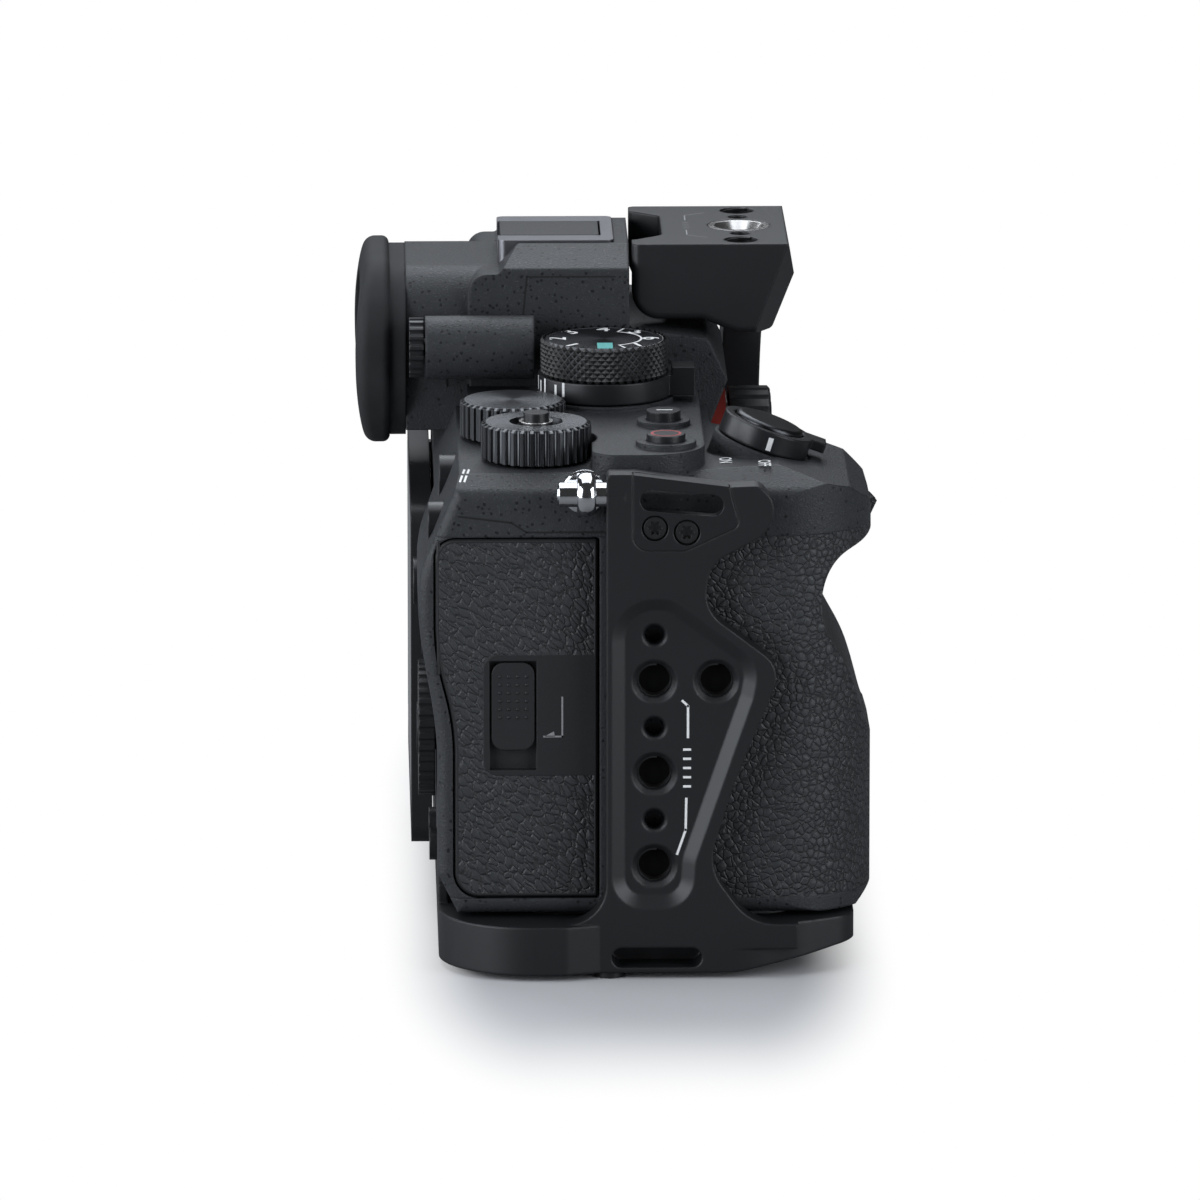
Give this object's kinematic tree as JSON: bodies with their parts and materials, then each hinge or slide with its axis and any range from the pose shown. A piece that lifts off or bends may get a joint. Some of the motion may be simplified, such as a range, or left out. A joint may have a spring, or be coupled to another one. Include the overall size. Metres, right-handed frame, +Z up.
{
  "type": "camera cage",
  "caption": "Camera cage with threaded side plate, base, left upright and top block round a camera whose dials, buttons, doors and monitor move.",
  "frame": {"origin": "mouth of the tripod thread in the base's underside, straight below the lens axis", "axes": "+X forward along the lens axis, +Y to the side away from the grip, +Z up"},
  "size_m": [0.0837, 0.145, 0.1068],
  "materials": {
    "black_anodised": "satin black anodised, fine bead-blast grain",
    "black_screw": "black oxide screws",
    "bright_steel": "polished",
    "flange_steel": "satin turned",
    "pad_rubber": "matte",
    "shell": "fine speckled crackle paint",
    "grip_rubber": "pebbled",
    "ring_red": "dark orange red gloss",
    "control": "black anodised, turned",
    "button": "semi-gloss black",
    "cover_plastic": "smooth",
    "shoe_steel": "black",
    "screen": "gloss black",
    "eyepiece": "coated"
  },
  "bodies": {
    "cage": {"cage_frame": "black_anodised", "strap_insert": "black_anodised", "strap_screws": "black_screw", "base_stud": "black_screw", "base_screws": "black_screw", "lug_pin": "bright_steel", "base_pad": "pad_rubber", "left_upright": "black_anodised", "top_block": "black_anodised", "top_thread_insert": "bright_steel", "block_screws": "black_screw", "camera_front_cover": "shell", "camera_rear_cover": "shell", "camera_top_cover": "shell", "camera_bottom_plate": "shell", "camera_grip": "grip_rubber", "camera_hump": "shell", "strap_lug_right": "bright_steel", "strap_lug_left": "bright_steel", "mount_ring": "ring_red", "lens_flange": "flange_steel", "hot_shoe": "shoe_steel", "eyecup": "pad_rubber", "eyepiece_glass": "eyepiece", "monitor_hinge": "cover_plastic"},
    "camera_screw": {"camera_screw": "bright_steel"},
    "mode_dial": {"mode_dial": "control"},
    "mode_selector": {"mode_selector": "button"},
    "rear_dial_left": {"rear_dial_left": "control"},
    "rear_dial_right": {"rear_dial_right": "control"},
    "dial_lock_button": {"dial_lock_button": "button"},
    "c1_button": {"c1_button": "button"},
    "rec_button": {"rec_button": "button"},
    "power_ring": {"power_ring": "control"},
    "shutter_button": {"shutter_button": "button"},
    "front_dial": {"front_dial": "control"},
    "diopter_wheel": {"diopter_wheel": "button"},
    "shoe_cover": {"shoe_cover": "cover_plastic"},
    "body_cap": {"body_cap": "cover_plastic"},
    "lens_release_button": {"lens_release_button": "button"},
    "monitor": {"monitor": "cover_plastic", "monitor_screen": "screen"},
    "control_wheel": {"control_wheel": "button"},
    "centre_button": {"centre_button": "button"},
    "joystick": {"joystick": "button"},
    "af_on_button": {"af_on_button": "button"},
    "ael_button": {"ael_button": "button"},
    "menu_button": {"menu_button": "button"},
    "c3_button": {"c3_button": "button"},
    "fn_button": {"fn_button": "button"},
    "play_button": {"play_button": "button"},
    "delete_button": {"delete_button": "button"},
    "card_door": {"card_door": "cover_plastic", "door_leather": "grip_rubber"},
    "door_latch": {"door_latch": "cover_plastic"},
    "battery_door": {"battery_door": "cover_plastic"},
    "port_cover_upper": {"port_cover_upper": "cover_plastic"},
    "port_cover_lower": {"port_cover_lower": "cover_plastic"}
  },
  "joints": [
    {"name": "camera_screw_turn", "type": "hinge", "parent": "cage", "child": "camera_screw", "pos_m": [0.0125, 0, 0.004], "axis": [0, 0, 1], "continuous": true},
    {"name": "mode_dial_turn", "type": "hinge", "parent": "cage", "child": "mode_dial", "pos_m": [0.0001, -0.031, 0.09], "axis": [0, 0, 1], "continuous": true},
    {"name": "mode_selector_turn", "type": "hinge", "parent": "cage", "child": "mode_selector", "pos_m": [0.0001, -0.031, 0.086], "axis": [0, 0, 1], "range_deg": [-30, 30]},
    {"name": "rear_dial_left_turn", "type": "hinge", "parent": "cage", "child": "rear_dial_left", "pos_m": [-0.0149, -0.0443, 0.082], "axis": [0, 0, 1], "continuous": true},
    {"name": "rear_dial_right_turn", "type": "hinge", "parent": "cage", "child": "rear_dial_right", "pos_m": [-0.0114, -0.0623, 0.082], "axis": [0, 0, 1], "continuous": true},
    {"name": "dial_lock_press", "type": "slide", "parent": "cage", "child": "dial_lock_button", "axis": [0, 0, -1], "range_m": [0, 0.0007], "stiffness_N_per_m": 300},
    {"name": "c1_press", "type": "slide", "parent": "cage", "child": "c1_button", "axis": [0, 0, -1], "range_m": [0, 0.0006], "stiffness_N_per_m": 300},
    {"name": "rec_press", "type": "slide", "parent": "cage", "child": "rec_button", "axis": [0, 0, -1], "range_m": [0, 0.0006], "stiffness_N_per_m": 300},
    {"name": "power_ring_turn", "type": "hinge", "parent": "cage", "child": "power_ring", "pos_m": [0.0248, -0.058, 0.0809], "axis": [0.342, 0, 0.9397], "range_deg": [-40, 0]},
    {"name": "shutter_press", "type": "slide", "parent": "cage", "child": "shutter_button", "axis": [-0.342, 0, -0.9397], "range_m": [0, 0.0008], "stiffness_N_per_m": 300},
    {"name": "front_dial_turn", "type": "hinge", "parent": "cage", "child": "front_dial", "pos_m": [0.0358, -0.052, 0.0719], "axis": [0.4226, 0, 0.9063], "continuous": true},
    {"name": "diopter_turn", "type": "hinge", "parent": "cage", "child": "diopter_wheel", "pos_m": [-0.03, -0.0242, 0.0903], "axis": [1, 0, 0], "range_deg": [-120, 120]},
    {"name": "shoe_cover_slide", "type": "slide", "parent": "cage", "child": "shoe_cover", "axis": [-1, 0, 0], "range_m": [0, 0.015]},
    {"name": "body_cap_turn", "type": "hinge", "parent": "cage", "child": "body_cap", "pos_m": [0.024, 0, 0.0475], "axis": [1, 0, 0], "range_deg": [0, 45]},
    {"name": "lens_release_press", "type": "slide", "parent": "cage", "child": "lens_release_button", "axis": [-1, 0, 0], "range_m": [0, 0.002], "stiffness_N_per_m": 300},
    {"name": "monitor_swing", "type": "hinge", "parent": "cage", "child": "monitor", "pos_m": [-0.0296, 0.0485, 0.038], "axis": [0, 0, -1], "range_deg": [0, 176]},
    {"name": "control_wheel_turn", "type": "hinge", "parent": "cage", "child": "control_wheel", "pos_m": [-0.029, -0.055, 0.0341], "axis": [1, 0, 0], "continuous": true},
    {"name": "centre_press", "type": "slide", "parent": "cage", "child": "centre_button", "axis": [1, 0, 0], "range_m": [0, 0.0006], "stiffness_N_per_m": 300},
    {"name": "joystick_tilt", "type": "hinge", "parent": "cage", "child": "joystick", "pos_m": [-0.0254, -0.0465, 0.0565], "axis": [0, 1, 0], "range_deg": [-8, 8], "stiffness_Nm_per_rad": 0.02},
    {"name": "af_on_press", "type": "slide", "parent": "cage", "child": "af_on_button", "axis": [1, 0, 0], "range_m": [0, 0.0006], "stiffness_N_per_m": 300},
    {"name": "ael_press", "type": "slide", "parent": "cage", "child": "ael_button", "axis": [1, 0, 0], "range_m": [0, 0.0006], "stiffness_N_per_m": 300},
    {"name": "menu_press", "type": "slide", "parent": "cage", "child": "menu_button", "axis": [1, 0, 0], "range_m": [0, 0.0006], "stiffness_N_per_m": 300},
    {"name": "c3_press", "type": "slide", "parent": "cage", "child": "c3_button", "axis": [1, 0, 0], "range_m": [0, 0.0006], "stiffness_N_per_m": 300},
    {"name": "fn_press", "type": "slide", "parent": "cage", "child": "fn_button", "axis": [1, 0, 0], "range_m": [0, 0.0006], "stiffness_N_per_m": 300},
    {"name": "play_press", "type": "slide", "parent": "cage", "child": "play_button", "axis": [1, 0, 0], "range_m": [0, 0.0006], "stiffness_N_per_m": 300},
    {"name": "delete_press", "type": "slide", "parent": "cage", "child": "delete_button", "axis": [1, 0, 0], "range_m": [0, 0.0006], "stiffness_N_per_m": 300},
    {"name": "card_door_swing", "type": "hinge", "parent": "cage", "child": "card_door", "pos_m": [-0.0272, -0.0778, 0.058], "axis": [0, 0, -1], "range_deg": [0, 90]},
    {"name": "door_latch_slide", "type": "slide", "parent": "card_door", "child": "door_latch", "axis": [0, 0, -1], "range_m": [0, 0.003], "stiffness_N_per_m": 150},
    {"name": "battery_door_swing", "type": "hinge", "parent": "cage", "child": "battery_door", "pos_m": [0.008, -0.0423, 0.0094], "axis": [1, 0, 0], "range_deg": [0, 85]},
    {"name": "port_cover_upper_swing", "type": "hinge", "parent": "cage", "child": "port_cover_upper", "pos_m": [-0.0159, 0.0522, 0.056], "axis": [0, 0, 1], "range_deg": [0, 90]},
    {"name": "port_cover_lower_swing", "type": "hinge", "parent": "cage", "child": "port_cover_lower", "pos_m": [-0.0159, 0.0522, 0.03], "axis": [0, 0, 1], "range_deg": [0, 90]}
  ]
}
